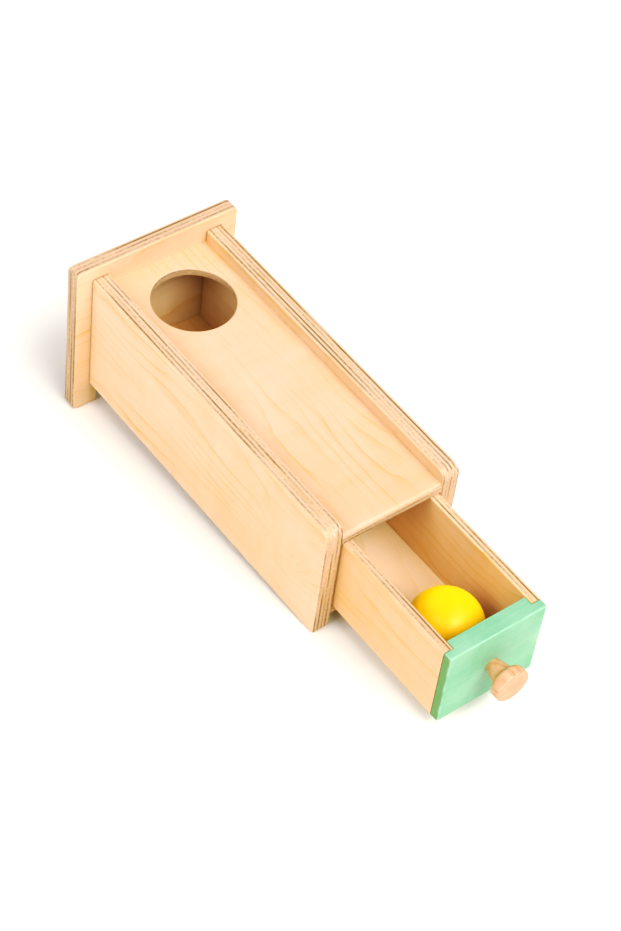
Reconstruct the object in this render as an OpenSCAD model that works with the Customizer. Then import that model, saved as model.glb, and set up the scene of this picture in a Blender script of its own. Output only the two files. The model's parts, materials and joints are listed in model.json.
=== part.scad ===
// Object permanence box: a plywood box with a ball hole in its top, a long drawer that runs out of
// its front, a turned knob and a ball. The box stands nose-down on the feet of its back plate and on
// the front lower corners of its side panels, so the ball rolls to the front of the drawer.
// The pieces are laid out in the box's own axes: y = 0 at the front edges of the side panels, z = 0
// at their lower edges. The whole box is then leaned forward until it stands on the ground.

/* [Ball] */
// Diameter of the ball
ball_d = 47; // [44.5:0.5:60]
// Gap between the ball and what it lies against
ball_gap = 0.3; // [0.1:0.05:0.5]

/* [Drawer] */
// Width of the drawer that is left free beside the ball
ball_side_room = 10.5; // [2:0.5:40]
// Height of the drawer's walls above the ball
wall_rise = 6.9; // [1:0.1:30]
// How far the drawer stands open
drawer_open = 97; // [0:1:140]
// Gap between the drawer and each side panel
drawer_gap = 1.25; // [0.5:0.05:3]
// Running gap under the drawer
drawer_lift = 0.3; // [0.1:0.05:0.8]
// Gap between the drawer's top edges and the top panel
drawer_headroom = 1; // [0.5:0.1:4]
// Gap between the shut drawer and the back plate
drawer_rear_gap = 2; // [1:0.5:6]
// Thickness of the drawer's side and back walls
wall_t = 6.5; // [5:0.5:10]
// Thickness of the drawer floor
floor_t = 4; // [3:0.5:6]
// Width of the rebates in the drawer's walls that seat the floor
floor_seat = 3; // [1.5:0.5:4]
// Thickness of the drawer front
front_t = 12; // [9:0.5:18]
// Thickness of the drawer front's lips, which cover the ends of the walls
front_lip = 6; // [3:0.5:7.5]

/* [Side panels] */
// Length of a side panel, from its front edge to the back plate
side_l = 238; // [180:1:320]
// Thickness of a side panel
side_t = 12; // [9:0.5:18]
// Radius of a side panel's top front corner
side_corner_r = 6.5; // [1:0.5:12]
// Radius of a side panel's bottom front corner
side_toe_r = 2.5; // [0.5:0.5:8]
// Depth of the grooves that hold the top panel and the bottom board
groove_d = 4; // [2:0.5:6]
// Distance from a side panel's front edge to the start of its grooves
groove_stop = 10; // [6:1:30]
// Glue gap round tongues, dowels and other pieces that are let into a neighbour
glue_gap = 0.1; // [0.05:0.05:0.2]

/* [Back plate] */
// Reach of the back plate past each side panel
plate_side = 11.5; // [4:0.5:40]
// Thickness of the back plate
plate_t = 10; // [8:0.5:15]
// Height of the back plate above the side panels
plate_rise = 9; // [2:0.5:20]
// Reach of the back plate below the side panels
plate_drop = 20; // [14:0.5:32]
// Radius of the back plate's corners
plate_corner_r = 4; // [1:0.5:10]
// Width of each foot of the back plate
foot_w = 18; // [12:0.5:30]
// Height of plate left between the cut-out and the lower edges of the side panels
foot_web = 6; // [2:0.5:9]
// Radius of the upper corners of the cut-out between the feet
foot_cut_r = 4; // [1:0.5:4.5]

/* [Top panel and bottom board] */
// Depth of the top panel's face below the top edges of the side panels
top_recess = 8.5; // [2:0.5:20]
// Thickness of the top panel
top_t = 6; // [4:0.5:9]
// Radius of the top panel's upper front edge
top_nose_r = 3; // [0.5:0.5:4]
// Play between the ball and the rim of the ball hole, on each side
hole_play = 3; // [0.5:0.5:5]
// Distance from the back plate to the rim of the ball hole
hole_margin = 12.5; // [6:0.5:60]
// Height of the bottom board's underside above the lower edges of the side panels
bottom_lift = 12; // [4:0.5:20]
// Thickness of the bottom board
bottom_t = 5; // [3:0.5:8]

/* [Knob] */
// Length of the knob, from the drawer front to the top of its dome
knob_l = 20; // [17:0.5:30]
// Diameter of the knob's neck at the drawer front
neck_d = 9; // [7:0.5:10]
// Diameter of the knob's head
knob_d = 23; // [19:0.5:36]
// Thickness of the knob's head, from its shoulder to the edge of its face
knob_head_t = 8.5; // [7:0.5:12]
// Radius of the shoulder at the back of the knob's head
knob_shoulder_r = 4; // [2:0.25:4.25]
// Radius of the edge of the knob's face
knob_edge_r = 1.25; // [0.5:0.25:2]
// Rise of the dome on the knob's face
dome_h = 0.8; // [0.3:0.1:2]

/* [Fasteners] */
// Diameter of the knob screw's shank
screw_d = 3.5; // [2.5:0.5:4.5]
// Diameter of the knob screw's countersunk head
screw_head_d = 7; // [6:0.5:9]
// Depth of the knob screw's head below the inside of the drawer front
screw_sink = 0.3; // [0.2:0.1:1]
// Length of the knob screw inside the knob
screw_bite = 12; // [6:0.5:13]
// Length of the knob screw's point
screw_point = 3; // [2:0.5:5]
// Diameter of the dowels between the side panels and the back plate
dowel_d = 6; // [4:0.5:7]
// Length of a dowel inside the back plate
dowel_in_plate = 6; // [4:0.5:7]
// Length of a dowel inside a side panel
dowel_in_side = 18; // [10:1:30]
// Bevel at the ends of a dowel
dowel_bevel = 0.8; // [0.4:0.1:1.5]
// Distance of the dowels from the bottom board and from the top panel
dowel_inset = 14; // [8:1:22]

/* [Hidden] */
$fn = 96;

// Room that a cutting shape reaches past the face it cuts, and the free end of a blind hole
past = 1;
hole_end = 0.5;

// Cross recess in the knob screw's head
recess_w = 0.9;
recess_depth = 1.2;

birch = "#f5d9ac";
birch_thin = "#f0cd98";
mint = "#a9e6c0";
yellow = "#ffdf05";
beech = "#f3c38f";
zinc = "#c9ccd0";

// Drawer: its width and height follow from the ball
drawer_inner_w = ball_d + ball_side_room;
drawer_w = drawer_inner_w + 2 * wall_t;
drawer_h = floor_t + ball_gap + ball_d + wall_rise;
drawer_l = side_l - drawer_rear_gap;

// Box: its width and height follow from the drawer
inner_w = drawer_w + 2 * drawer_gap;
body_w = inner_w + 2 * side_t;
bottom_top = bottom_lift + bottom_t;
drawer_z = bottom_top + drawer_lift;
top_under = drawer_z + drawer_h + drawer_headroom;
top_z = top_under + top_t;
side_h = top_z + top_recess;
plate_w = body_w + 2 * plate_side;

// Ball hole
hole_d = ball_d + 2 * hole_play;
hole_y = side_l - hole_margin - hole_d / 2;

// Knob: its axis, its head's back and the ball that its dome is cut from
knob_z = drawer_h / 2;
face_r = knob_d / 2 - knob_edge_r;
shoulder_r = knob_d / 2 - knob_shoulder_r;
head_front = knob_l - dome_h;
head_back = head_front - knob_head_t;
dome_r = (pow(face_r, 2) + pow(dome_h, 2)) / (2 * dome_h);

// Knob screw
screw_l = front_t - screw_sink + screw_bite;
screw_head_h = (screw_head_d - screw_d) / 2;

// Dowels: one pair in each side panel
dowel_x = (body_w - side_t) / 2;
dowel_zs = [bottom_top + dowel_inset, top_under - dowel_inset];

// Lean of the box: the ground touches the round lower corners of the side panels and the feet
toe_to_foot = [side_l - side_toe_r, plate_drop + side_toe_r];
tilt = atan2(toe_to_foot[1], toe_to_foot[0]) - asin(side_toe_r / norm(toe_to_foot));
ground = side_l * sin(tilt) - plate_drop * cos(tilt);

// Front and back of the standing box, which the origin lies midway between
back_y = (side_l + plate_t) * cos(tilt) + plate_drop * sin(tilt);
dome_y = dome_r - knob_l - drawer_open;
front_y = dome_y * cos(tilt) - (drawer_z + knob_z) * sin(tilt) - dome_r;
mid_y = (front_y + back_y) / 2;

// Places the box, laid out in its own axes, on the ground
module standing() {
    translate([0, -mid_y, -ground])
        rotate([tilt, 0, 0])
            children();
}

// Places a piece of the drawer: x = 0 on its centre line, y = 0 at its front face, z = 0 at its base
module in_drawer() {
    standing()
        translate([0, -drawer_open, drawer_z])
            children();
}

// Turns a piece made along +z so that it points out of the drawer front along the knob's axis
module on_knob_axis(y) {
    in_drawer()
        translate([0, y, knob_z])
            rotate([90, 0, 0])
                children();
}

// Flat waste that rounds the corner at the origin of a shape lying in +x and +y
module corner_waste(r) {
    difference() {
        translate([-past, -past])
            square(r + past);
        translate([r, r])
            circle(r);
    }
}

// Waste of a groove for a board of the given underside and thickness, in the left side panel
module groove_waste(z, t) {
    translate([-inner_w / 2 - groove_d, groove_stop, z - glue_gap])
        cube([groove_d + past, side_l - groove_stop + past, t + 2 * glue_gap]);
}

// Blind holes for the dowels of one side panel, from the joint with the back plate
module dowel_holes(x, depth, turn) {
    for (z = dowel_zs)
        translate([x, side_l, z])
            rotate([turn, 0, 0])
                translate([0, 0, -past])
                    cylinder(d = dowel_d + 2 * glue_gap, h = past + depth + hole_end);
}

// Left side panel in the box's axes
module side_panel_shape() {
    difference() {
        translate([-body_w / 2, 0, 0])
            rotate([90, 0, 90])
                linear_extrude(side_t)
                    difference() {
                        square([side_l, side_h]);
                        corner_waste(side_toe_r);
                        translate([0, side_h])
                            mirror([0, 1])
                                corner_waste(side_corner_r);
                    }
        groove_waste(bottom_lift, bottom_t);
        groove_waste(top_under, top_t);
        dowel_holes(-dowel_x, dowel_in_side, 90);
    }
}

// Board with a tongue along each side, for the grooves of the side panels
module tongued_board(z, t) {
    translate([-inner_w / 2 + glue_gap, 0, z])
        cube([inner_w - 2 * glue_gap, side_l, t]);
    tongue_w = inner_w + 2 * (groove_d - glue_gap);
    translate([-tongue_w / 2, groove_stop + glue_gap, z])
        cube([tongue_w, side_l - groove_stop - glue_gap, t]);
}

// Left wall of the drawer, with the rebate along its lower inside edge that seats the floor
module drawer_wall_shape() {
    difference() {
        translate([-drawer_w / 2, front_lip, 0])
            cube([wall_t, drawer_l - front_lip, drawer_h]);
        translate([-drawer_inner_w / 2 - floor_seat, front_t, -past])
            cube([floor_seat + past, drawer_l - front_t + past, past + floor_t + glue_gap]);
    }
}

// Half section of the knob: radius along x, distance from the drawer front along y
module knob_section() {
    polygon([[0, 0], [neck_d / 2, 0], [shoulder_r, head_back], [0, head_back]]);
    translate([0, head_back])
        square([shoulder_r, knob_head_t]);
    translate([0, head_back + knob_shoulder_r])
        square([knob_d / 2, knob_head_t - knob_shoulder_r - knob_edge_r]);
    translate([0, head_back + knob_shoulder_r])
        square([face_r, knob_head_t - knob_shoulder_r]);
    translate([shoulder_r, head_back + knob_shoulder_r])
        circle(knob_shoulder_r);
    translate([face_r, head_front - knob_edge_r])
        circle(knob_edge_r);
    intersection() {
        translate([0, knob_l - dome_r])
            circle(dome_r);
        translate([0, head_front - past])
            square([face_r, past + dome_h]);
    }
}

// Square of plywood with round corners and a cut-out that leaves two feet
module back_plate() {
    plate_h = plate_drop + side_h + plate_rise;
    cut_w = plate_w - 2 * foot_w;
    cut_h = plate_drop - foot_web;
    color(birch)
        standing()
            difference() {
                translate([0, side_l + plate_t, -plate_drop])
                    rotate([90, 0, 0])
                        linear_extrude(plate_t)
                            difference() {
                                translate([-plate_w / 2, 0])
                                    square([plate_w, plate_h]);
                                for (sx = [0, 1], sz = [0, 1])
                                    mirror([sx, 0])
                                        translate([-plate_w / 2, sz * plate_h])
                                            mirror([0, sz])
                                                corner_waste(plate_corner_r);
                                difference() {
                                    translate([-cut_w / 2, -past])
                                        square([cut_w, cut_h + past]);
                                    for (sx = [0, 1])
                                        mirror([sx, 0])
                                            translate([-cut_w / 2, cut_h])
                                                mirror([0, 1])
                                                    corner_waste(foot_cut_r);
                                }
                            }
                for (side = [-1, 1])
                    dowel_holes(side * dowel_x, dowel_in_plate, -90);
            }
}

// Plywood sides, grooved for the top panel and the bottom board
module left_side_panel() {
    color(birch)
        standing()
            side_panel_shape();
}

module right_side_panel() {
    color(birch)
        standing()
            mirror([1, 0, 0])
                side_panel_shape();
}

// Sunk top with a rounded front edge and the hole that the ball is posted through
module top_panel() {
    color(birch)
        standing()
            difference() {
                tongued_board(top_under, top_t);
                translate([0, hole_y, top_under - past])
                    cylinder(d = hole_d, h = top_t + 2 * past);
                translate([-inner_w / 2, 0, top_z])
                    rotate([90, 0, 90])
                        linear_extrude(inner_w)
                            mirror([0, 1])
                                corner_waste(top_nose_r);
            }
}

// Board that the drawer runs on
module bottom_board() {
    color(birch)
        standing()
            tongued_board(bottom_lift, bottom_t);
}

// Hidden dowels, two in each side panel
module plate_dowels() {
    color(beech)
        standing()
            for (x = [-dowel_x, dowel_x], z = dowel_zs)
                translate([x, side_l + dowel_in_plate, z])
                    rotate([90, 0, 0])
                        dowel();
}

module dowel() {
    dowel_l = dowel_in_plate + dowel_in_side;
    end_d = dowel_d - 2 * dowel_bevel;
    cylinder(d1 = end_d, d2 = dowel_d, h = dowel_bevel);
    translate([0, 0, dowel_bevel])
        cylinder(d = dowel_d, h = dowel_l - 2 * dowel_bevel);
    translate([0, 0, dowel_l - dowel_bevel])
        cylinder(d1 = dowel_d, d2 = end_d, h = dowel_bevel);
}

// Painted front, rebated at each end for the walls and drilled for the knob screw
module drawer_front() {
    rebate_w = wall_t + glue_gap;
    hole_r = screw_d / 2 + glue_gap;
    sink_r = screw_head_d / 2 + glue_gap;
    color(mint)
        difference() {
            in_drawer()
                translate([-drawer_w / 2, 0, 0])
                    cube([drawer_w, front_t, drawer_h]);
            in_drawer()
                for (x = [-drawer_w / 2 - past, drawer_w / 2 - rebate_w])
                    translate([x, front_lip, -past])
                        cube([rebate_w + past, front_t - front_lip + past, drawer_h + 2 * past]);
            on_knob_axis(front_t) {
                translate([0, 0, -past])
                    cylinder(r = hole_r, h = front_t + 2 * past);
                translate([0, 0, -past])
                    cylinder(r = sink_r, h = past + screw_sink);
                translate([0, 0, screw_sink])
                    cylinder(r1 = sink_r, r2 = hole_r, h = sink_r - hole_r);
            }
        }
}

module drawer_left_wall() {
    color(birch_thin)
        in_drawer()
            drawer_wall_shape();
}

module drawer_right_wall() {
    color(birch_thin)
        in_drawer()
            mirror([1, 0, 0])
                drawer_wall_shape();
}

// Back wall, standing on the floor between the side walls
module drawer_back_wall() {
    back_w = drawer_inner_w - 2 * glue_gap;
    color(birch_thin)
        in_drawer()
            translate([-back_w / 2, drawer_l - wall_t, floor_t])
                cube([back_w, wall_t, drawer_h - floor_t]);
}

// Floor, seated in the rebates of the side walls
module drawer_floor() {
    floor_w = drawer_inner_w + 2 * (floor_seat - glue_gap);
    color(birch_thin)
        in_drawer()
            translate([-floor_w / 2, front_t, 0])
                cube([floor_w, drawer_l - front_t, floor_t]);
}

// Turned knob: a cone that widens to a head with a round shoulder and a slightly domed face
module knob() {
    color(beech)
        on_knob_axis(0)
            difference() {
                rotate_extrude()
                    knob_section();
                translate([0, 0, -past])
                    cylinder(d = screw_d + 2 * glue_gap, h = past + screw_bite + hole_end);
            }
}

// Countersunk wood screw, driven from inside the drawer
module knob_screw() {
    color(zinc)
        on_knob_axis(front_t - screw_sink)
            difference() {
                union() {
                    cylinder(d1 = screw_head_d, d2 = screw_d, h = screw_head_h);
                    translate([0, 0, screw_head_h])
                        cylinder(d = screw_d, h = screw_l - screw_head_h - screw_point);
                    translate([0, 0, screw_l - screw_point])
                        cylinder(d1 = screw_d, d2 = 0, h = screw_point);
                }
                for (turn = [0, 90])
                    rotate([0, 0, turn])
                        translate([-screw_d / 2, -recess_w / 2, -past])
                            cube([screw_d, recess_w, past + recess_depth]);
            }
}

// Ball, lying in the front left corner of the drawer
module ball() {
    ball_r = ball_d / 2;
    color(yellow)
        in_drawer()
            translate([ball_gap + ball_r - drawer_inner_w / 2,
                       front_t + ball_gap + ball_r,
                       floor_t + ball_gap + ball_r])
                sphere(ball_r);
}

back_plate();
left_side_panel();
right_side_panel();
top_panel();
bottom_board();
plate_dowels();
drawer_front();
drawer_left_wall();
drawer_right_wall();
drawer_back_wall();
drawer_floor();
knob();
knob_screw();
ball();
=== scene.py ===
import json
import math

import bmesh
import bpy
from mathutils import Matrix, Vector


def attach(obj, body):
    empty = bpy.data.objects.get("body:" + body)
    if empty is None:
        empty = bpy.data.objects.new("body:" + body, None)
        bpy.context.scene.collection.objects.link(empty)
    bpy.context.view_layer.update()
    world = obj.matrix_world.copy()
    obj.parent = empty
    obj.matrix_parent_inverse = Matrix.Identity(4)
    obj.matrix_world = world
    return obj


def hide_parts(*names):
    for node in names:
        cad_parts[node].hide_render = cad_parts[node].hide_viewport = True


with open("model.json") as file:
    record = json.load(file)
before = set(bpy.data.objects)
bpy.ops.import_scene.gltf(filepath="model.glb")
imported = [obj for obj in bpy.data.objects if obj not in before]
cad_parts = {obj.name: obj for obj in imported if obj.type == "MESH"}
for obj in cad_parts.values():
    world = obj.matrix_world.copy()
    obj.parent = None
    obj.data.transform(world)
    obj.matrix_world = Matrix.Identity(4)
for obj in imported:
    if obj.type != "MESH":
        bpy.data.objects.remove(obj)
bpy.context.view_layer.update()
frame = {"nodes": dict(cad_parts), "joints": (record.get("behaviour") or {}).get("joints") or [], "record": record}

scene = bpy.context.scene


# The toy stands on a plain white table in a white room, lit by a broad lamp from the front and weaker
# ones all round. The camera looks down on it from the front left, as the photograph was taken.
eye = Vector((-0.63925, -0.76355, 1.05369))
sight = Vector((0.452359, 0.544370, -0.706423))
roll = math.radians(3.633)
lens = bpy.data.cameras.new("view")
lens.sensor_fit = "VERTICAL"
lens.sensor_height = 24
lens.lens = 61.04
camera = bpy.data.objects.new("view", lens)
camera.matrix_world = (Matrix.Translation(eye) @ sight.to_track_quat("-Z", "Y").to_matrix().to_4x4()
                       @ Matrix.Rotation(roll, 4, "Z"))
scene.collection.objects.link(camera)
scene.camera = camera
scene.view_settings.view_transform = "Standard"
# the shadows come out a little deeper and warmer than they are, as in the photograph
scene.view_settings.use_curve_mapping = True
contrast = scene.view_settings.curve_mapping
all_colours, blue = contrast.curves[3], contrast.curves[2]
for curve, light_in, light_out in ((all_colours, 0.12, 0.08), (all_colours, 0.4, 0.385),
                                   (blue, 0.14, 0.1), (blue, 0.4, 0.4)):
    curve.points.new(light_in, light_out)
contrast.update()


def soft_lamp(name, side, height, spread, strength):
    """A broad lamp far away. Its side is counted from the front to the right, in degrees."""
    lamp = bpy.data.lights.new(name, "SUN")
    lamp.energy = strength
    lamp.angle = math.radians(spread)
    stand = bpy.data.objects.new(name, lamp)
    stand.rotation_euler = (math.radians(90 - height), 0, math.radians(side))
    scene.collection.objects.link(stand)


soft_lamp("front_lamp", side=0, height=47, spread=36, strength=2.5)
soft_lamp("right_lamp", side=45, height=52, spread=40, strength=1.1)
soft_lamp("left_lamp", side=-90, height=42, spread=40, strength=1.5)
soft_lamp("back_lamp", side=180, height=50, spread=40, strength=0.2)
world = bpy.data.worlds.new("white_room")
world.use_nodes = True
room = world.node_tree
height = room.nodes.new("ShaderNodeSeparateXYZ")
room.links.new(room.nodes.new("ShaderNodeTexCoord").outputs["Generated"], height.inputs["Vector"])
fall = room.nodes.new("ShaderNodeMapRange")
for socket, value in (("From Min", 0.12), ("From Max", 0.32), ("To Min", 1.0), ("To Max", 0.22)):
    fall.inputs[socket].default_value = value
room.links.new(height.outputs["Z"], fall.inputs["Value"])
room.links.new(fall.outputs["Result"], room.nodes["Background"].inputs["Strength"])
room.nodes["Background"].inputs["Color"].default_value = (1, 1, 1, 1)
scene.world = world

table_mesh = bmesh.new()
bmesh.ops.create_grid(table_mesh, x_segments=1, y_segments=1, size=6)
table_data = bpy.data.meshes.new("table_top")
table_mesh.to_mesh(table_data)
table_mesh.free()
table_top = bpy.data.objects.new("table_top", table_data)
scene.collection.objects.link(table_top)
table_white = bpy.data.materials.new("table_white")
table_white.use_nodes = True
table_skin = table_white.node_tree.nodes["Principled BSDF"]
for socket, value in (("Base Color", (0.94, 0.92, 0.87, 1)), ("Roughness", 0.9), ("Specular IOR Level", 0.1)):
    table_skin.inputs[socket].default_value = value
table_data.materials.append(table_white)


# Side panels: two boards of nine-ply birch plywood, sawn square, with the top front corner rounded
# off and all edges eased by sanding. The top panel and the bottom board are glued into their grooves.
side_ease = 0.0008
side_corner = 0.0065
side_toe = 0.0025
crease = 0.6
same_place = 1e-6
slide = [j for j in frame["joints"] if j["name"] == "drawer_slide"][0]
tilt = math.atan2(-slide["axis"][2], -slide["axis"][1])
lean = Matrix.Rotation(tilt, 4, "X")


def lying(node):
    """Lowest and highest corners of a CAD node in the leaning axes of the toy."""
    spots = [lean.inverted() @ v.co for v in frame["nodes"][node].data.vertices]
    return tuple(Vector(f(s[i] for s in spots) for i in range(3)) for f in (min, max))


def keep(name, bm, body, node, finish):
    """Leans a finished piece into place and hands it to the body that carries it."""
    bmesh.ops.remove_doubles(bm, verts=bm.verts, dist=same_place)
    bmesh.ops.transform(bm, matrix=lean, verts=bm.verts)
    bmesh.ops.recalc_face_normals(bm, faces=bm.faces)
    for face in bm.faces:
        face.smooth = True
    for edge in bm.edges:
        edge.smooth = edge.calc_face_angle(0) < crease
    data = bpy.data.meshes.new(name)
    bm.to_mesh(data)
    bm.free()
    data.materials.append(finish)
    piece = bpy.data.objects.new(name, data)
    scene.collection.objects.link(piece)
    even = piece.modifiers.new("even_shading", "WEIGHTED_NORMAL")
    even.keep_sharp = True
    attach(piece, body)
    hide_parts(node)
    return piece


def ease_edges(bm, ease, skip=None):
    """Rounds over every sharp outer edge, as sandpaper does."""
    bm.normal_update()
    sharp = [e for e in bm.edges
             if e.is_manifold and e.calc_face_angle_signed() > crease and not (skip and skip(e))]
    bmesh.ops.bevel(bm, geom=sharp, offset=ease, segments=4, profile=0.5, affect="EDGES", material=-1)


def board(outline, across, start, thick, ease):
    """Saws a board to an outline of (place, place, corner radius) and eases its edges."""
    bm = bmesh.new()
    one, two = [i for i in range(3) if i != across]

    def spot(a, b):
        p = Vector((0, 0, 0))
        p[one], p[two], p[across] = a, b, start
        return p

    face = bm.faces.new([bm.verts.new(spot(a, b)) for a, b, r in outline])
    out = bmesh.ops.extrude_face_region(bm, geom=[face])
    through = Vector((0, 0, 0))
    through[across] = thick
    bmesh.ops.translate(bm, verts=[v for v in out["geom"] if isinstance(v, bmesh.types.BMVert)], vec=through)
    bmesh.ops.recalc_face_normals(bm, faces=bm.faces)
    for a, b, r in outline:
        if r > 0:
            edge = [e for e in bm.edges
                    if all(abs(v.co[one] - a) < same_place and abs(v.co[two] - b) < same_place
                           for v in e.verts)]
            bmesh.ops.bevel(bm, geom=edge, offset=r, segments=10, profile=0.5, affect="EDGES", material=-1)
    ease_edges(bm, ease)
    return bm


class Tone:
    """A value in a finish's node tree. Sums with it add Math nodes, and add() makes any other node."""

    def __init__(self, tree, node=None, out=0):
        self.tree, self.node, self.out = tree, node, out

    def add(self, kind, sockets=None, out=0, **settings):
        node = self.tree.nodes.new("ShaderNode" + kind)
        for name, value in settings.items():
            setattr(node, name, value)
        for name, value in (sockets or {}).items():
            if isinstance(value, Tone):
                self.tree.links.new(value.node.outputs[value.out], node.inputs[name])
            else:
                node.inputs[name].default_value = value
        return Tone(self.tree, node, out)

    def pick(self, out):
        return Tone(self.tree, self.node, out)

    def sum(self, operation, a, b=0.0):
        return self.add("Math", {0: a, 1: b}, operation=operation)

    def __add__(self, other):
        return self.sum("ADD", self, other)

    def __radd__(self, other):
        return self.sum("ADD", other, self)

    def __sub__(self, other):
        return self.sum("SUBTRACT", self, other)

    def __rsub__(self, other):
        return self.sum("SUBTRACT", other, self)

    def __mul__(self, other):
        return self.sum("MULTIPLY", self, other)

    def __rmul__(self, other):
        return self.sum("MULTIPLY", other, self)

    def __mod__(self, other):
        return self.sum("MODULO", self, other)

    def __pow__(self, other):
        return self.sum("POWER", self, other)

    def __abs__(self):
        return self.sum("ABSOLUTE", self)

    def floor(self):
        return self.sum("FLOOR", self)

    def ramp(self, low, high):
        """0 below low, 1 above high, and a smooth step between them."""
        return self.add("MapRange", {0: self, 1: low, 2: high, 3: 0.0, 4: 1.0},
                        interpolation_type="SMOOTHSTEP")

    def mix(self, a, b):
        """Colour a where this value is 0, colour b where it is 1."""
        return self.add("Mix", {0: self, 6: a, 7: b}, out=2, data_type="RGBA", clamp_factor=True)


def noise(axes, scales, detail=2.0, rough=0.5):
    """Noise from 0 to 1 over three values, each with its own scale per metre."""
    first = axes[0]
    place = first.add("CombineXYZ", {i: a * s for i, (a, s) in enumerate(zip(axes, scales))})
    return first.add("TexNoise", {"Vector": place, "Scale": 1.0, "Detail": detail, "Roughness": rough})


def new_finish(name):
    """An empty material and a tone to build its nodes with."""
    finish = bpy.data.materials.new(name)
    finish.use_nodes = True
    finish.node_tree.nodes.clear()
    return finish, Tone(finish.node_tree)


def lying_axes(tone, centre):
    """Object coordinates in the leaning axes of the toy, counted from a piece's centre."""
    place = tone.add("Mapping", {"Vector": tone.add("TexCoord", out="Object"),
                                 "Location": -centre, "Rotation": (-tilt, 0, 0)}, vector_type="POINT")
    split = tone.add("SeparateXYZ", {"Vector": place})
    return [split.pick(i) for i in range(3)]


def facing(tone, direction):
    """How squarely the surface faces along a direction of the leaning axes, from 0 to 1."""
    normal = tone.add("NewGeometry", out="Normal")
    return abs(tone.add("VectorMath", {0: normal, 1: lean @ direction}, out="Value", operation="DOT_PRODUCT"))


def coat(tone, colour, roughness, height, depth, sheen=0.35, chalky=0.0):
    """Closes a finish with its colour, roughness and the fine relief of its surface."""
    relief = tone.add("Bump", {"Height": height, "Distance": depth, "Strength": 1.0})
    skin = tone.add("BsdfPrincipled", {"Base Color": colour, "Roughness": roughness, "Normal": relief,
                                       "Specular IOR Level": sheen, "Diffuse Roughness": chalky})
    tone.add("OutputMaterial", {"Surface": skin})


def plywood(name, node, plies, across, along, seed, light, dark, loop=None, joint=None, raw=0.27):
    """Birch plywood all through: plies stacked across the sheet, and a peeled figure on their faces.

    The loop is a closed figure (place along, place across, size, rings), the joint is the place along the
    grain where painted shade darkens the board against the next piece, and raw is how brown the sawn edges
    have become.
    """
    finish, tone = new_finish(name)
    lo, hi = lying(node)
    axes = lying_axes(tone, (lo + hi) / 2)
    side = 3 - across - along
    u, g, w = axes[across], axes[along], axes[side]
    thick = hi[across] - lo[across]
    # plies, with boundaries that wander a little and never break through a face
    wander = noise([g, w, u], (45, 45, 0), 2) - 0.5
    stack = (u * (1 / thick) + 0.5) * plies + wander * 0.4
    stack = tone.sum("MINIMUM", tone.sum("MAXIMUM", stack, 0.3), plies - 0.3)
    ply = stack.floor()
    part = stack - ply
    leaf = ply * 3.7 + seed * 100
    grain_dir = Vector((0, 0, 0))
    grain_dir[along] = 1
    butt = facing(tone, grain_dir).ramp(0.55, 0.8)
    sheet_dir = Vector((0, 0, 0))
    sheet_dir[across] = 1
    edge = 1 - facing(tone, sheet_dir).ramp(0.35, 0.8)
    core = tone.sum("MINIMUM", part, 1 - part)
    end_grain = abs(ply % 2.0 - butt) * core.ramp(0.0, 0.22)
    # figure of a peeled veneer: thin growth lines that wander and close into loops, fine fibres, a soft
    # flame across the grain and a slow change of colour
    slow = noise([g, w, leaf], (4.5, 20.0, 1.0), 2) - 0.5
    quick = noise([g, w, leaf], (26.0, 75.0, 1.0), 2) - 0.5
    ring_gap = 0.0105
    rise = w * (1 / ring_gap) + slow * 6.5 + quick * 0.85
    if loop:
        at_g, at_w, size, height = loop
        away = ((g - at_g) * (g - at_g) + (w - at_w) * (w - at_w)) * (-1 / size ** 2)
        rise = rise + tone.sum("EXPONENT", away) * height
    line = tone.sum("FRACT", rise + seed * 7) ** 5.0
    strength = noise([g, w, leaf], (9.0, 26.0, 2.0), 1).ramp(0.3, 0.72)
    fibre = noise([g, w + seed, u], (42.0, 1250.0, 1250.0), 3, 0.6)
    pores = noise([g, w + seed, u], (190.0, 2900.0, 2900.0), 1).ramp(0.66, 0.76)
    mottle = noise([g, w, leaf], (8.0, 19.0, 3.0), 3)
    flame = noise([g, w, leaf], (85.0, 16.0, 4.0), 2)
    streak = noise([g, w, leaf], (9.0, 120.0, 5.0), 2).ramp(0.6, 0.8)
    figure = (line * strength * 0.72 + (fibre - 0.5) * 0.4 + (mottle - 0.5) * 1.1 + (flame - 0.5) * 0.4
              + pores * 0.12 + streak * 0.35 + 0.2)
    face = figure.mix(light, dark)
    # end grain: brown dashes, stronger here and weaker there along the edge, with fine glue lines and a
    # darker gap at long intervals
    sawn_light = (0.74, 0.52, 0.36, 1)
    sawn_dark = (0.26, 0.15, 0.10, 1)
    long_grain = (0.52, 0.32, 0.175, 1)
    gap_brown = (0.17, 0.085, 0.04, 1)
    glue_brown = (0.37, 0.21, 0.14, 1)
    joint_shade_brown = (0.22, 0.11, 0.05, 1)
    speckle = noise([g, w, u], (420.0, 420.0, 700.0), 3, 0.7)
    patch = noise([g, w, leaf * 0.06], (13.0, 13.0, 2.7), 2).ramp(0.36, 0.66)
    dash = (speckle - 0.5) * 1.8 + patch * 0.85 - butt * 0.12 + (0.1 + raw * 0.45)
    sawn = dash.mix(sawn_light, sawn_dark)
    void = noise([g, w, leaf], (38.0, 38.0, 6.3), 1).ramp(0.74, 0.8) * end_grain
    sawn = (void * 0.7).mix(sawn, gap_brown)
    body = end_grain.mix((edge * raw + butt * 0.2).mix(face, long_grain), sawn)
    glue = (1 - core.ramp(0.02, 0.14)) * (0.15 + patch * 0.85)
    body = (glue * 0.34).mix(body, glue_brown)
    # painted shadow of the joint: the board darkens towards the piece it meets
    if joint:
        joint_shade = (g - joint).ramp(-0.0010, -0.0004)
        body = (joint_shade * 0.7).mix(body, joint_shade_brown)
    relief = fibre * 0.6 - pores * 0.4 - glue * 0.5 - void * 1.5 - end_grain * speckle * 0.6
    coat(tone, body, 0.5 + fibre * 0.16 + end_grain * 0.12, relief, depth=0.0001)
    return finish


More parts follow.
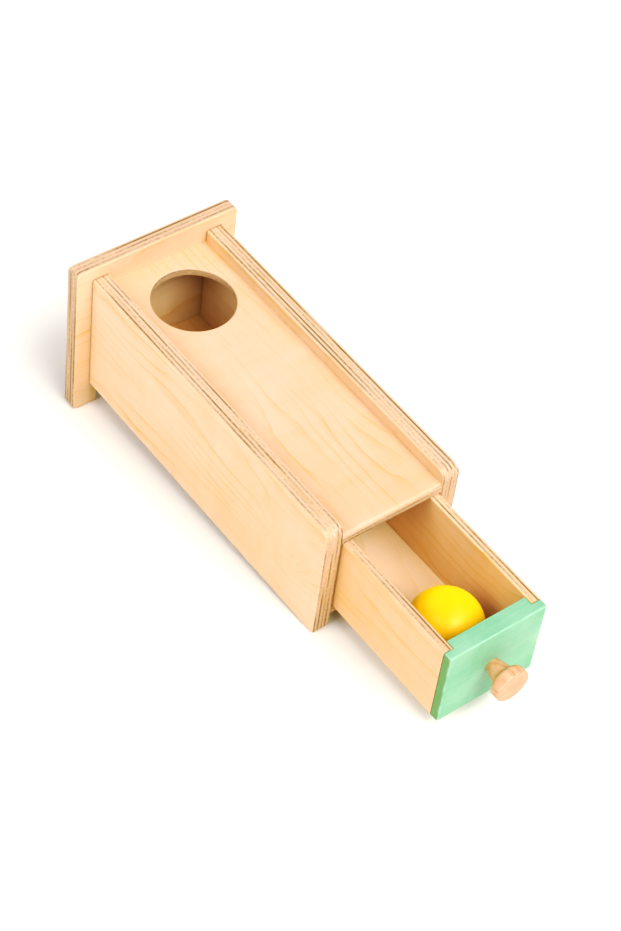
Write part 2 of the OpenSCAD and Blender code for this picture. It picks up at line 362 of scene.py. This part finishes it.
birch_light = (0.82, 0.59, 0.405, 1)
birch_dark = (0.73, 0.43, 0.16, 1)
for name, seed, loop in (("left_side_panel", 0.13, (-0.085, 0.003, 0.019, 3.4)),
                         ("right_side_panel", 0.44, None)):
    lo, hi = lying(name)
    outline = [(lo.y, lo.z, side_toe), (hi.y, lo.z, 0), (hi.y, hi.z, 0), (lo.y, hi.z, side_corner)]
    bm = board(outline, across=0, start=lo.x, thick=hi.x - lo.x, ease=side_ease)
    # the rear end of each panel meets the back plate, where the finish paints shade into the joint
    plate_joint = (hi.y - lo.y) / 2
    finish = plywood(name + "_birch", name, plies=9, across=0, along=1, seed=seed, light=birch_light,
                     dark=birch_dark, loop=loop, joint=plate_joint)
    keep(name + "_board", bm, "housing", name, finish)
inner_left = lying("left_side_panel")[1].x
inner_right = lying("right_side_panel")[0].x


# Top panel: five-ply birch sunk between the side panels, with a rounded front edge. The ball hole is
# bored near the back plate and its rim is rounded over by hand.
nose = 0.003
rim_ease = 0.0012
lo, hi = lying("top_panel")
hole = [m for m in frame["record"]["mounts"] if m["name"] == "ball_hole"][0]
centre = lean.inverted() @ Vector(hole["pos_m"])
centre.z = hi.z
hole_r = hole["dims"]["r_mm"] / 1000
half = inner_right
bm = bmesh.new()
ring = bmesh.ops.create_circle(bm, radius=hole_r, segments=96)["verts"]
bmesh.ops.translate(bm, verts=ring, vec=centre)
out = bmesh.ops.extrude_edge_only(bm, edges=bm.edges[:])
for v in out["geom"]:
    if isinstance(v, bmesh.types.BMVert):
        reach = v.co - centre
        v.co = centre + reach * (half / max(abs(reach.x), abs(reach.y)))
plate_y = lying("back_plate")[0].y
for edge_y, end_y in ((centre.y - half, lo.y), (centre.y + half, plate_y)):
    edges = [e for e in bm.edges if all(abs(v.co.y - edge_y) < same_place for v in e.verts)]
    out = bmesh.ops.extrude_edge_only(bm, edges=edges)
    for v in out["geom"]:
        if isinstance(v, bmesh.types.BMVert):
            v.co.y = end_y
out = bmesh.ops.extrude_face_region(bm, geom=bm.faces[:])
bmesh.ops.translate(bm, verts=[v for v in out["geom"] if isinstance(v, bmesh.types.BMVert)],
                    vec=(0, 0, lo.z - hi.z))
bmesh.ops.recalc_face_normals(bm, faces=bm.faces)


def level(edge):
    """Whether an edge lies in the plane of the panel, and not across it."""
    return abs(edge.verts[0].co.z - edge.verts[1].co.z) < same_place


rims = [e for e in bm.edges if level(e)
        and all(abs((v.co - centre).xy.length - hole_r) < same_place for v in e.verts)]
bmesh.ops.bevel(bm, geom=rims, offset=rim_ease, segments=5, profile=0.5, affect="EDGES", material=-1)
front = [e for e in bm.edges
         if all(abs(v.co.y - lo.y) < same_place and abs(v.co.z - hi.z) < same_place for v in e.verts)]
bmesh.ops.bevel(bm, geom=front, offset=nose, segments=8, profile=0.5, affect="EDGES", material=-1)
# the top panel's birch is a darker copy of the side panels': painted shade that tones down the stronger light on
# its upper face
shaded_top_light = (0.76, 0.53, 0.365, 1)
shaded_top_dark = (0.67, 0.385, 0.14, 1)
finish = plywood("top_panel_birch", "top_panel", plies=5, across=2, along=1, seed=0.47, light=shaded_top_light,
                 dark=shaded_top_dark)
keep("top_panel_board", bm, "housing", "top_panel", finish)


# Bottom board: thin three-ply between the side panels, which the drawer runs on. Its edges are only
# broken with sandpaper, since it is hidden but for its front edge and its underside.
lo, hi = lying("bottom_board")
lo.x, hi.x = inner_left, inner_right
raw_light = (0.74, 0.43, 0.19, 1)
raw_dark = (0.62, 0.30, 0.10, 1)
raw_ease = 0.0004
outline = [(lo.x, lo.y, 0), (hi.x, lo.y, 0), (hi.x, hi.y, 0), (lo.x, hi.y, 0)]
bm = board(outline, across=2, start=lo.z, thick=hi.z - lo.z, ease=raw_ease)
finish = plywood("bottom_board_birch", "bottom_board", plies=3, across=2, along=1, seed=0.83,
                 light=raw_light, dark=raw_dark)
keep("bottom_board_sheet", bm, "housing", "bottom_board", finish)


# Back plate: a square of seven-ply birch, larger than the box all round, with rounded corners and a
# cut-out that leaves two feet. It is glued and dowelled to the rear edges of the side panels.
plate_corner = 0.004
plate_ease = 0.0009
foot_w = 0.018
foot_web = 0.006
lo, hi = lying("back_plate")
cut_z = lying("left_side_panel")[0].z - foot_web
outline = [(lo.x, lo.z, plate_corner), (lo.x + foot_w, lo.z, 0), (lo.x + foot_w, cut_z, plate_corner),
           (hi.x - foot_w, cut_z, plate_corner), (hi.x - foot_w, lo.z, 0), (hi.x, lo.z, plate_corner),
           (hi.x, hi.z, plate_corner), (lo.x, hi.z, plate_corner)]
bm = board(outline, across=1, start=lo.y, thick=hi.y - lo.y, ease=plate_ease)
finish = plywood("back_plate_birch", "back_plate", plies=7, across=1, along=0, seed=0.29,
                 light=birch_light, dark=birch_dark, raw=0.5)
keep("back_plate_board", bm, "housing", "back_plate", finish)


# Drawer walls: five-ply birch, glued into the rebates of the drawer front. Each has a rebate along its
# lower inside edge for the floor, cut from behind the front to the rear end. The right one is painted
# paler, as painted light on its inner face in the shade of the drawer.
floor_lo, floor_hi = lying("drawer_floor")
wall_light = (0.83, 0.55, 0.335, 1)
wall_dark = (0.74, 0.41, 0.14, 1)
# painted light: a paler copy of the wall birch for the right wall's shaded inner face
lit_right_pale = (0.93, 0.63, 0.39, 1)
lit_right_deep = (0.85, 0.49, 0.17, 1)
wall_ease = 0.0008
glue_gap = 0.0001
for name, side, seed, light, dark in (("drawer_left_wall", -1, 0.15, wall_light, wall_dark),
                                      ("drawer_right_wall", 1, 0.62, lit_right_pale, lit_right_deep)):
    lo, hi = lying(name)
    outer, inner = (lo.x, hi.x) if side < 0 else (hi.x, lo.x)
    seat = side * (floor_hi.x + glue_gap)
    seat_z = floor_hi.z + glue_gap
    bm = bmesh.new()
    corners = {k: bm.verts.new((x, lo.y, z)) for k, x, z in (
        ("base", outer, lo.z), ("seat", seat, lo.z), ("step", seat, seat_z), ("lip", inner, seat_z),
        ("toe", inner, lo.z), ("head", inner, hi.z), ("top", outer, hi.z))}
    long_face = bm.faces.new([corners[k] for k in ("base", "seat", "step", "lip", "head", "top")])
    stub_face = bm.faces.new([corners[k] for k in ("seat", "toe", "lip", "step")])
    out = bmesh.ops.extrude_face_region(bm, geom=[long_face, stub_face])
    bmesh.ops.translate(bm, verts=[v for v in out["geom"] if isinstance(v, bmesh.types.BMVert)],
                        vec=(0, floor_lo.y - lo.y, 0))
    ends = [f for f in out["geom"] if isinstance(f, bmesh.types.BMFace) and len(f.verts) == 6]
    out = bmesh.ops.extrude_face_region(bm, geom=ends)
    bmesh.ops.translate(bm, verts=[v for v in out["geom"] if isinstance(v, bmesh.types.BMVert)],
                        vec=(0, hi.y - floor_lo.y, 0))
    bmesh.ops.delete(bm, geom=ends, context="FACES_ONLY")
    bmesh.ops.recalc_face_normals(bm, faces=bm.faces)

    def in_joint(edge):
        """Whether an edge is glued up, at the front end or in the rebate, and so stays sharp."""
        return all(abs(v.co.y - lo.y) < same_place
                   or (v.co.z < seat_z + same_place and abs(v.co.x - outer) > same_place)
                   for v in edge.verts)

    ease_edges(bm, wall_ease, in_joint)
    finish = plywood(name + "_birch", name, plies=5, across=0, along=1, seed=seed, light=light, dark=dark)
    keep(name + "_board", bm, "drawer", name, finish)


# Drawer floor and back wall: thin birch plywood. The floor lies in the rebates of the walls, and the
# back wall stands on it between them.
# the floor's birch is paler than the walls': painted light, standing in for the light that falls into the drawer
lit_floor_pale = (0.97, 0.78, 0.54, 1)
lit_floor_deep = (0.95, 0.69, 0.41, 1)
for name, across, along, plies, seed, light, dark, ease in (
        ("drawer_floor", 2, 1, 3, 0.71, lit_floor_pale, lit_floor_deep, raw_ease),
        ("drawer_back_wall", 1, 0, 5, 0.37, wall_light, wall_dark, wall_ease)):
    lo, hi = lying(name)
    one, two = [i for i in range(3) if i != across]
    outline = [(lo[one], lo[two], 0), (hi[one], lo[two], 0), (hi[one], hi[two], 0), (lo[one], hi[two], 0)]
    bm = board(outline, across, lo[across], hi[across] - lo[across], ease)
    finish = plywood(name + "_birch", name, plies, across, along, seed, light, dark)
    keep(name + "_board", bm, "drawer", name, finish)


# Drawer front: a block of solid wood, rebated at both ends for the walls and brushed with pale green
# paint. A countersunk hole in its inner face takes the screw of the knob.
lip = 0.006
front_ease = 0.0009
lo, hi = lying("drawer_front")
wall_in = lying("drawer_right_wall")[0].x - glue_gap
outline = [(lo.x, lo.y, 0), (hi.x, lo.y, 0), (hi.x, lo.y + lip, 0), (wall_in, lo.y + lip, 0),
           (wall_in, hi.y, 0), (-wall_in, hi.y, 0), (-wall_in, lo.y + lip, 0), (lo.x, lo.y + lip, 0)]
bm = board(outline, across=2, start=lo.z, thick=hi.z - lo.z, ease=front_ease)
screw_lo, screw_hi = lying("knob_screw")
sink_r = (screw_hi.x - screw_lo.x) / 2 + glue_gap
knob_axis = Vector((0, hi.y, (screw_lo.z + screw_hi.z) / 2))
rear = max(bm.faces, key=lambda f: (f.calc_center_median().y, f.calc_area()))
rear_edges = rear.edges[:]
bmesh.ops.delete(bm, geom=[rear], context="FACES_ONLY")
upright = Matrix.Translation(knob_axis) @ Matrix.Rotation(math.pi / 2, 4, "X")
sink = bmesh.ops.create_circle(bm, radius=sink_r, segments=48, matrix=upright)["verts"]
sink_edges = list({e for v in sink for e in v.link_edges})
bmesh.ops.triangle_fill(bm, edges=rear_edges + sink_edges, use_beauty=True, normal=(0, 1, 0))
# the fill also covers the hole, which is opened again
for stale in [f for f in bm.faces if len(f.verts) == 3 and all(v in sink for v in f.verts)]:
    bm.faces.remove(stale)
# a short straight rim, the cone under the screw's head, and the hole for its shank
for push, shrink in ((0.0003, 1.0), (0.0019, 0.53), (0.006, 1.0)):
    out = bmesh.ops.extrude_edge_only(bm, edges=sink_edges)
    moved = [v for v in out["geom"] if isinstance(v, bmesh.types.BMVert)]
    sink_edges = [e for e in out["geom"] if isinstance(e, bmesh.types.BMEdge)]
    bmesh.ops.translate(bm, verts=moved, vec=(0, -push, 0))
    bmesh.ops.scale(bm, verts=moved, vec=(shrink, 1, shrink), space=Matrix.Translation(-knob_axis))
bmesh.ops.contextual_create(bm, geom=sink_edges)

mint_deep = (0.145, 0.445, 0.23, 1)
mint_pale = (0.38, 0.605, 0.42, 1)
mint_soaked = (0.15, 0.34, 0.14, 1)
mint_wear_and_highlight = (0.50, 0.72, 0.56, 1)
finish, tone = new_finish("mint_paint")
axes = lying_axes(tone, (lo + hi) / 2)
x, y, z = axes
brush = noise([x, z, y], (22.0, 640.0, 640.0), 3, 0.6)
cloud = noise(axes, (42.0, 42.0, 42.0), 3)
dust = noise(axes, (900.0, 900.0, 900.0), 2, 0.7)
# end grain drinks the paint, and the corners of the block are rubbed paler, which also stands as a painted
# highlight along the arrises
soaked = facing(tone, Vector((1, 0, 0))).ramp(0.6, 0.9)
size = (hi - lo) / 2
near = sum((abs(a) - (h - front_ease)).ramp(-0.0006, 0.0002) for a, h in zip(axes, size))
wear_and_highlight = near.ramp(1.3, 1.9) * noise(axes, (120.0, 120.0, 120.0), 3).ramp(0.3, 0.62)
coverage = (brush - 0.5) * 0.5 + (cloud - 0.5) * 1.3 + (dust - 0.5) * 0.3 + 0.47
paint = coverage.mix(mint_deep, mint_pale)
paint = soaked.mix(paint, mint_soaked)
paint = (wear_and_highlight * 0.3).mix(paint, mint_wear_and_highlight)
coat(tone, paint, 0.38 + brush * 0.14, brush * 0.5 + dust * 0.3, depth=0.00008, sheen=0.3)
keep("drawer_front_block", bm, "drawer", "drawer_front", finish)


# Knob: turned from a piece of beech, a cone that widens to a round-shouldered head with a slightly
# domed face. It is held by a screw from inside the drawer front, and has only been oiled.
lo, hi = lying("knob")
axis_z = (lo.z + hi.z) / 2
base_y = hi.y
length = hi.y - lo.y
head_r = (hi.x - lo.x) / 2
neck_r = 0.0045
head_t = 0.0085
dome = 0.0008
knob_edge = 0.00125
shoulder = 0.004
bm = bmesh.new()


def turn_arc(start, centre, angle, steps):
    """Carries the profile round a small arc in its own plane, and gives the arc's last point."""
    out = bmesh.ops.spin(bm, geom=[start], cent=centre, axis=(0, 0, 1), angle=angle, steps=steps)
    return out["geom_last"][0]


flat_r, shoulder_r = head_r - knob_edge, head_r - shoulder
back_y, face_y = base_y - (length - dome - head_t), base_y - (length - dome)
dome_r = (flat_r ** 2 + dome ** 2) / (2 * dome)
neck = [bm.verts.new((r, y, axis_z)) for r, y in ((0, base_y), (neck_r, base_y), (shoulder_r, back_y))]
for pair in zip(neck, neck[1:]):
    bm.edges.new(pair)
rim_back = turn_arc(neck[2], (shoulder_r, back_y - shoulder, axis_z), -math.pi / 2, 8)
rim_face = bm.verts.new((head_r, face_y + knob_edge, axis_z))
bm.edges.new((rim_back, rim_face))
face_edge = turn_arc(rim_face, (flat_r, face_y + knob_edge, axis_z), -math.pi / 2, 5)
turn_arc(face_edge, (0, lo.y + dome_r, axis_z), -math.asin(flat_r / dome_r), 6)
bmesh.ops.spin(bm, geom=bm.verts[:] + bm.edges[:], cent=(0, 0, axis_z), axis=(0, 1, 0), angle=2 * math.pi,
               steps=96, use_merge=True)
# the turning leaves one point for each step at both ends of the axis
bmesh.ops.remove_doubles(bm, verts=bm.verts, dist=10 * same_place)

# the year rings run round the heart of the tree, which lay beside and below the knob
heart = Vector((0.017, base_y, axis_z - 0.021))
year = 0.0024
beech_light = (0.77, 0.445, 0.275, 1)
beech_dark = (0.56, 0.255, 0.125, 1)
finish, tone = new_finish("turned_beech")
axes = lying_axes(tone, heart)
x, y, z = axes
radius = tone.sum("SQRT", x * x + z * z)
wave = noise([x, y, z], (70.0, 18.0, 70.0), 2) - 0.5
rings = tone.sum("SINE", (radius + wave * 0.004) * (2 * math.pi / year)) * 0.5 + 0.5
flecks = noise([x, y, z], (1500.0, 240.0, 1500.0), 2, 0.6)
cloud = noise([x, y, z], (110.0, 60.0, 110.0), 2)
figure = rings ** 2.0 * 0.4 + flecks.ramp(0.48, 0.7) * 0.4 + (cloud - 0.5) * 1.1 + 0.1
beech = figure.mix(beech_light, beech_dark)
coat(tone, beech, 0.46 + flecks * 0.15, flecks * -0.5 + rings * 0.15, depth=0.00008, sheen=0.4)
keep("turned_knob", bm, "drawer", "knob", finish)


# Knob screw: a zinc-plated wood screw with a cross recess, seen only as its head inside the drawer.
# The hidden dowels of the back plate are plain beech. Both keep the shapes of their solids.
zinc_dull = (0.50, 0.51, 0.53, 1)
zinc_bright = (0.74, 0.74, 0.75, 1)
finish, tone = new_finish("zinc_plate")
axes = lying_axes(tone, (screw_lo + screw_hi) / 2)
swirl = noise(axes, (700.0, 700.0, 700.0), 3, 0.6)
metal = swirl.mix(zinc_dull, zinc_bright)
relief = tone.add("Bump", {"Height": swirl, "Distance": 0.00003, "Strength": 1.0})
skin = tone.add("BsdfPrincipled", {"Base Color": metal, "Roughness": 0.28 + swirl * 0.2, "Metallic": 1.0,
                                   "Normal": relief})
tone.add("OutputMaterial", {"Surface": skin})
frame["nodes"]["knob_screw"].data.materials.clear()
frame["nodes"]["knob_screw"].data.materials.append(finish)

dowel_light = (0.86, 0.62, 0.38, 1)
dowel_dark = (0.68, 0.42, 0.22, 1)
finish, tone = new_finish("dowel_beech")
axes = lying_axes(tone, sum(lying("plate_dowels"), Vector((0, 0, 0))) / 2)
strand = noise(axes, (1300.0, 60.0, 1300.0), 3, 0.6)
coat(tone, strand.mix(dowel_light, dowel_dark), 0.55 + strand * 0.15, strand, depth=0.0001)
frame["nodes"]["plate_dowels"].data.materials.clear()
frame["nodes"]["plate_dowels"].data.materials.append(finish)


# Ball: a turned wooden ball, dipped in yellow paint, lying in the front corner of the drawer. The
# grain of the wood shows through the paint as a faint relief.
lo, hi = lying("ball")
centre = (lo + hi) / 2
ball_r = (hi.x - lo.x) / 2
bm = bmesh.new()
bmesh.ops.create_icosphere(bm, subdivisions=6, radius=ball_r, matrix=Matrix.Translation(centre))
yellow_deep = (0.99, 0.58, 0.0, 1)
yellow_bright = (1.0, 0.64, 0.002, 1)
grain_gap = 0.0035
finish, tone = new_finish("yellow_paint")
x, y, z = lying_axes(tone, centre)
wave = noise([x, y, z], (35.0, 35.0, 35.0), 2) - 0.5
grain = tone.sum("SINE", (x * 0.8 + z * 0.6 + wave * 0.01) * (2 * math.pi / grain_gap)) * 0.5 + 0.5
peel = noise([x, y, z], (420.0, 420.0, 420.0), 2, 0.5)
cloud = noise([x, y, z], (45.0, 45.0, 45.0), 2)
paint = (cloud * 0.7 + peel * 0.3).mix(yellow_deep, yellow_bright)
coat(tone, paint, 0.32 + peel * 0.08, peel * 0.6 + grain * 0.25, depth=0.00005, sheen=0.4, chalky=1.0)
keep("yellow_ball", bm, "ball", "ball", finish)
